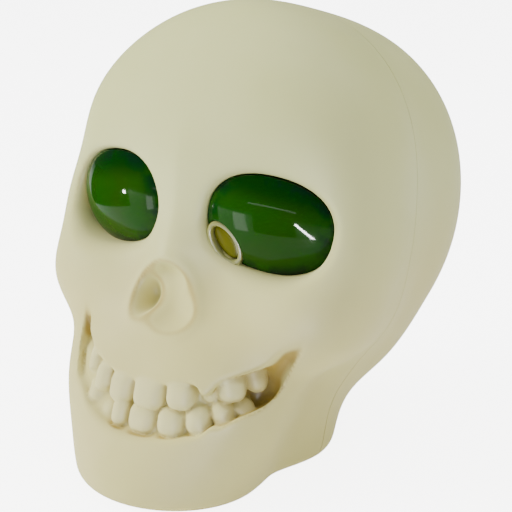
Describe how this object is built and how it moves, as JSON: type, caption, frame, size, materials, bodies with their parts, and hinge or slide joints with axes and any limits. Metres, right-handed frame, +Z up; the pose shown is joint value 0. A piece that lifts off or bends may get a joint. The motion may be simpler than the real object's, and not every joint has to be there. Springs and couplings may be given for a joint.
{
  "type": "light-up skull decoration",
  "caption": "Cream plastic skull ornament with domed green eye lenses lit from behind, a row of teeth and a flat base with a battery door and slide switch.",
  "frame": {"origin": "centre of the bounding box on the plane that the skull stands on", "axes": "+Z up, the face looks towards -Y, +X towards the skull's own left side"},
  "size_m": [0.1188, 0.15, 0.1427],
  "materials": {
    "shell_cream": "satin moulded plastic",
    "lens_green": "clear glossy tinted plastic",
    "window_olive": "tinted window",
    "cup_white": "smooth white",
    "lamp_clear": "clear water-like",
    "screw_steel": "plated",
    "contact_steel": "nickel plated",
    "plate_black": "fine matt grain",
    "switch_grey": "smooth",
    "cell_wrap": "printed sleeve without lettering",
    "board_green": "lacquered board",
    "wire_red": "insulation",
    "wire_black": "insulation"
  },
  "bodies": {
    "skull": {"face_shell": "shell_cream", "rear_shell": "shell_cream", "eye_lens_left": "lens_green", "eye_lens_right": "lens_green", "light_cup_left": "cup_white", "light_cup_right": "cup_white", "eye_lamp_left": "lamp_clear", "eye_lamp_right": "lamp_clear", "eye_screw_left_upper": "screw_steel", "eye_screw_left_lower": "screw_steel", "eye_screw_right_upper": "screw_steel", "eye_screw_right_lower": "screw_steel", "lamp_wire_left_red": "wire_red", "lamp_wire_left_black": "wire_black", "lamp_wire_right_red": "wire_red", "lamp_wire_right_black": "wire_black", "eye_window": "window_olive", "shell_screw_lower_left": "screw_steel", "shell_screw_lower_right": "screw_steel", "shell_screw_crown": "screw_steel", "base_plate": "plate_black", "base_screw_back": "screw_steel", "base_screw_front": "screw_steel", "base_screw_side_front": "screw_steel", "base_screw_side_back": "screw_steel", "cell_a": "cell_wrap", "cell_b": "cell_wrap", "contact_bridge": "contact_steel", "contact_plus": "contact_steel", "contact_minus": "contact_steel", "spring_bridge": "contact_steel", "spring_minus": "contact_steel", "switch_body": "switch_grey", "lamp_board": "board_green", "board_screw_front": "screw_steel", "board_screw_back": "screw_steel", "battery_wire_red": "wire_red", "battery_wire_black": "wire_black", "switch_wire_front": "wire_red", "switch_wire_back": "wire_red"},
    "door": {"battery_door": "plate_black"},
    "knob": {"switch_knob": "switch_grey"}
  },
  "joints": [
    {"name": "door_hinge", "type": "hinge", "parent": "skull", "child": "door", "pos_m": [-0.0075, -0.0516, 0.00115], "axis": [-1, 0, 0], "range_deg": [0, 75]},
    {"name": "knob_slide", "type": "slide", "parent": "skull", "child": "knob", "axis": [0, 1, 0], "range_m": [0, 0.0036]}
  ]
}
